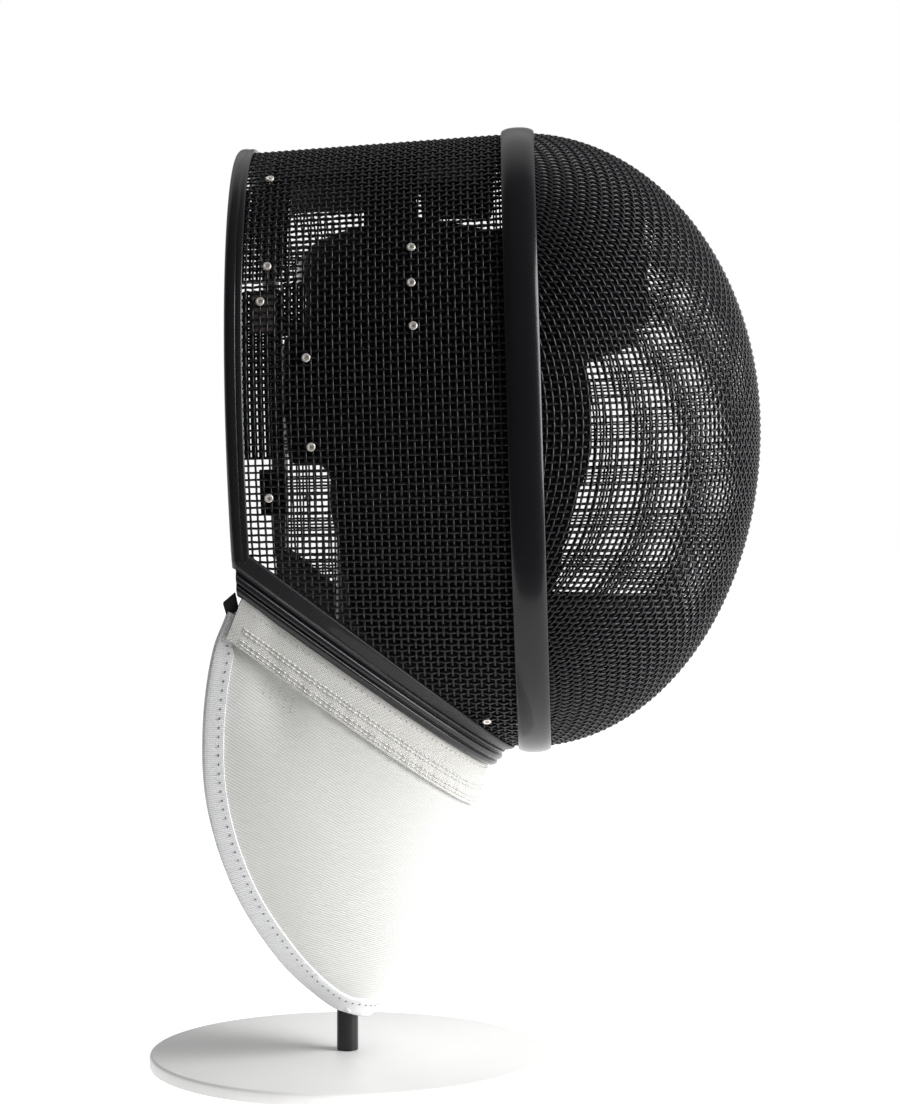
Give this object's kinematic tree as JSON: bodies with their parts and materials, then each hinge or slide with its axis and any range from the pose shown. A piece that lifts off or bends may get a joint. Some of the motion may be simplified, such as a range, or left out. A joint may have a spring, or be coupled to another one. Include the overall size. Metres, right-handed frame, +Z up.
{
  "type": "fencing mask on a display stand",
  "caption": "Black wire-mesh fencing mask with a glossy centre strip, rubber neck trim, padded liner and white cloth bib, carried on a slim black pole stand with a pale round base.",
  "frame": {"origin": "centre of the flat underside of the stand base, on the axis of the pole", "axes": "+X out through the face of the mask, +Y to the wearer's left, +Z up"},
  "size_m": [0.2836, 0.2044, 0.4346],
  "materials": {
    "wire": "satin black coated wire",
    "strip": "glossy black",
    "trim": "satin black",
    "strap": "black webbing",
    "pale_strap": "pale webbing",
    "pad": "black padded cloth",
    "bib": "white woven cloth",
    "eyelet": "bright",
    "base": "matt white",
    "pole": "gloss black"
  },
  "bodies": {
    "root": {"face_mesh": "wire", "side_mesh": "wire", "centre_strip": "strip", "back_trim": "trim", "neck_trim": "trim", "bib_band": "bib", "bib_hem": "bib", "bib_panel": "bib", "corner_tab_right": "strap", "corner_tab_left": "strap", "liner": "pad", "brow_pad": "pad", "chin_pad": "pad", "crown_strap": "strap", "crown_pad_back": "pad", "crown_pad_front": "pad", "low_tab_right": "strap", "high_tab_right": "pale_strap", "stand_base": "base", "stand_pole": "pole", "stand_cap": "pole", "eyelet_right_1": "eyelet", "eyelet_right_2": "eyelet", "eyelet_right_3": "eyelet", "eyelet_right_4": "eyelet", "eyelet_right_5": "eyelet", "eyelet_right_6": "eyelet", "eyelet_right_7": "eyelet", "eyelet_right_8": "eyelet", "eyelet_right_9": "eyelet", "eyelet_right_10": "eyelet", "eyelet_left_1": "eyelet", "eyelet_left_2": "eyelet", "eyelet_left_3": "eyelet", "eyelet_left_4": "eyelet", "eyelet_left_5": "eyelet", "eyelet_left_6": "eyelet", "eyelet_left_7": "eyelet", "eyelet_left_8": "eyelet", "eyelet_left_9": "eyelet", "eyelet_left_10": "eyelet"}
  },
  "joints": []
}
